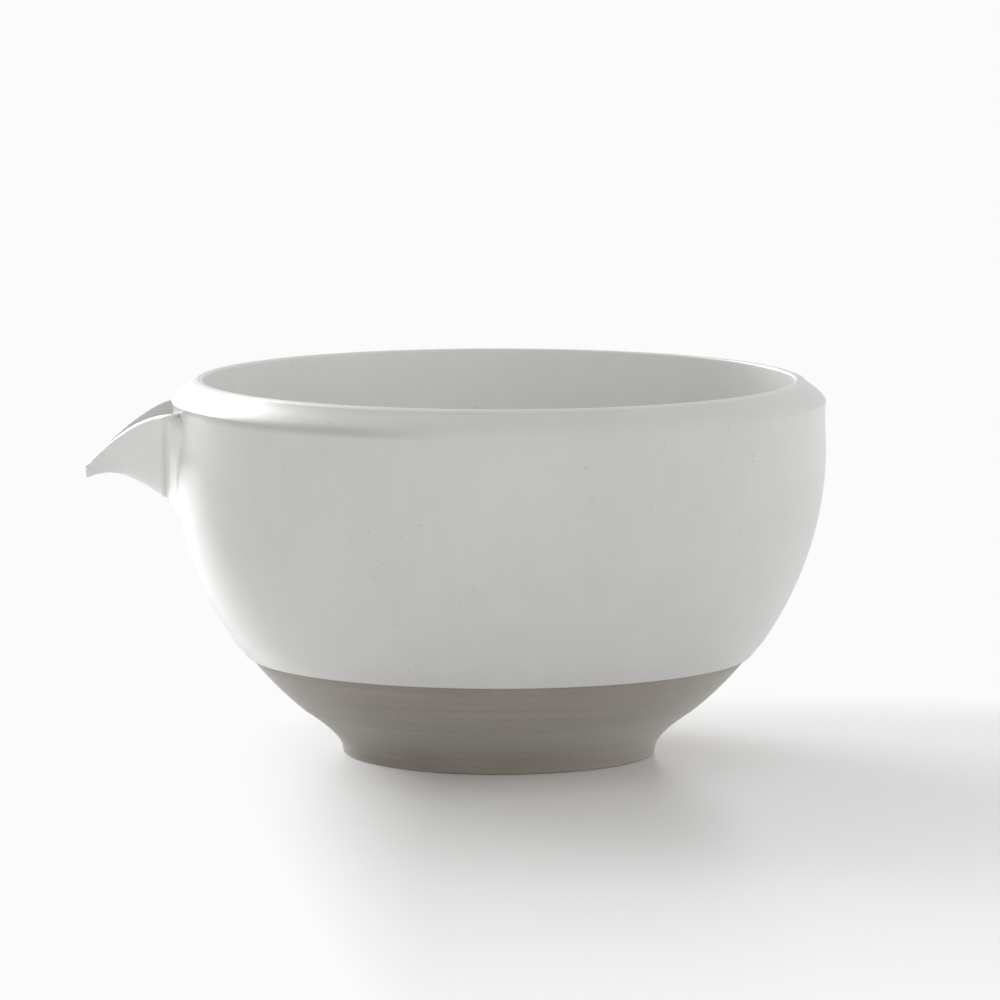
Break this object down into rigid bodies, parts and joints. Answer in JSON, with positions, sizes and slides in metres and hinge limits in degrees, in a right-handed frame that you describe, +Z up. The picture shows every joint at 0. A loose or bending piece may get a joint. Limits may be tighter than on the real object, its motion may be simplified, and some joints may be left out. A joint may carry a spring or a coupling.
{
  "type": "spouted matcha bowl",
  "caption": "Deep round stoneware bowl on a foot ring, with a beak spout luted to the wall under its unbroken rim and a pale glaze that stops above the bare clay foot.",
  "frame": {"origin": "middle of the overall length and width, on the plane that the foot ring stands on; the bowl's own axis stands 8.65 mm along +X from it", "axes": "+X away from the spout along the overall length, +Y across the bowl, +Z up out of the bowl's mouth"},
  "size_m": [0.1474, 0.13, 0.0749],
  "materials": {
    "bare_stoneware": "matte bare stoneware with fine turning lines",
    "outer_glaze": "satin off-white glaze",
    "inner_glaze": "satin off-white glaze",
    "glazed_spout": "satin off-white glaze",
    "glazed_bead": "satin off-white glaze"
  },
  "bodies": {
    "root": {"bowl_body": "bare_stoneware", "outer_glaze": "outer_glaze", "inner_glaze": "inner_glaze", "spout": "glazed_spout", "luting_bead": "glazed_bead"}
  },
  "joints": []
}
